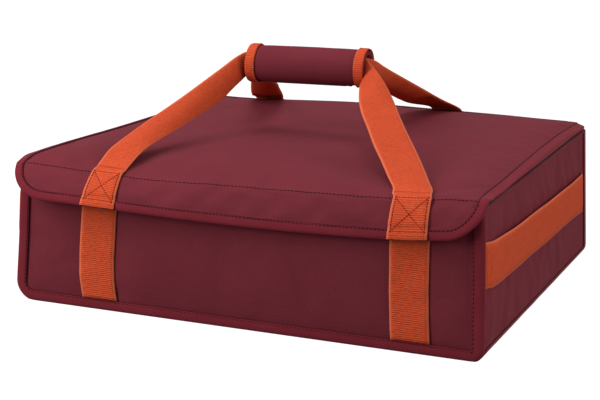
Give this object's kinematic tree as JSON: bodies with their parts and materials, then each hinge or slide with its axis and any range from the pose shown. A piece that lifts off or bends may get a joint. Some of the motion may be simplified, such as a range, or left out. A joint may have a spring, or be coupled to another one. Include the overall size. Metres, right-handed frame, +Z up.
{
  "type": "pizza delivery bag",
  "caption": "Square insulated delivery bag with a hinged padded lid, a front closing flap, webbing straps that meet in a padded carry grip, and side grab straps.",
  "frame": {"origin": "middle of the base's underside, on the surface that the bag stands on", "axes": "+X to the bag's right seen from its front, +Y to its back where the lid is hinged, +Z up"},
  "size_m": [0.4858, 0.4821, 0.2374],
  "materials": {
    "burgundy_cloth": "matt coated polyester weave",
    "binding_tape": "ribbed woven tape, slight sheen",
    "orange_webbing": "ribbed polypropylene webbing",
    "foil_liner": "aluminised film on cloth",
    "grey_foam": "closed-cell foam sheet",
    "base_board": "matt plastic sheet",
    "hook_and_loop": "hook-and-loop pile"
  },
  "bodies": {
    "box": {"front_panel": "burgundy_cloth", "back_panel": "burgundy_cloth", "left_panel": "burgundy_cloth", "right_panel": "burgundy_cloth", "bottom_panel": "burgundy_cloth", "front_foam": "grey_foam", "back_foam": "grey_foam", "left_foam": "grey_foam", "right_foam": "grey_foam", "bottom_foam": "grey_foam", "base_board": "base_board", "front_liner": "foil_liner", "back_liner": "foil_liner", "left_liner": "foil_liner", "right_liner": "foil_liner", "bottom_liner": "foil_liner", "front_binding": "binding_tape", "back_binding": "binding_tape", "left_bottom_binding": "binding_tape", "right_bottom_binding": "binding_tape", "rim_tape_front": "binding_tape", "rim_tape_left": "binding_tape", "rim_tape_right": "binding_tape", "hinge_tape": "binding_tape", "front_strap_left": "orange_webbing", "front_strap_right": "orange_webbing", "back_strap_left": "orange_webbing", "back_strap_right": "orange_webbing", "side_strap_left": "orange_webbing", "side_strap_right": "orange_webbing", "hook_tape": "hook_and_loop"},
    "lid": {"lid_shell": "burgundy_cloth", "lid_foam": "grey_foam", "lid_liner": "foil_liner", "lid_binding": "binding_tape", "front_riser_left": "orange_webbing", "front_riser_right": "orange_webbing", "rear_riser_left": "orange_webbing", "rear_riser_right": "orange_webbing"},
    "flap": {"flap_shell": "burgundy_cloth", "flap_lining": "burgundy_cloth", "flap_binding": "binding_tape", "flap_patch_left": "orange_webbing", "flap_patch_right": "orange_webbing", "loop_tape": "hook_and_loop"},
    "grip": {"grip_webbing_front": "orange_webbing", "grip_webbing_rear": "orange_webbing", "grip_padding": "grey_foam", "grip_cover": "burgundy_cloth", "grip_band_left": "orange_webbing", "grip_band_right": "orange_webbing"},
    "grip_wing": {"wing_padding": "grey_foam", "wing_cover": "burgundy_cloth", "wing_band_left": "orange_webbing", "wing_band_right": "orange_webbing", "wing_hook_tape": "hook_and_loop"}
  },
  "joints": [
    {"name": "lid_hinge", "type": "hinge", "parent": "box", "child": "lid", "pos_m": [0, 0.2334, 0.13155], "axis": [-1, 0, 0], "range_deg": [0, 180]},
    {"name": "flap_hinge", "type": "hinge", "parent": "lid", "child": "flap", "pos_m": [0, -0.2308, 0.138], "axis": [-1, 0, 0], "range_deg": [0, 110]},
    {"name": "grip_drop", "type": "slide", "parent": "lid", "child": "grip", "axis": [0, 0, 1], "range_m": [-0.045, 0], "deforming": ["front_riser_left", "front_riser_right", "rear_riser_left", "rear_riser_right"]},
    {"name": "wrap_hinge", "type": "hinge", "parent": "grip", "child": "grip_wing", "pos_m": [0, -0.00398, 0.22825], "axis": [1, 0, 0], "range_deg": [0, 110]}
  ]
}
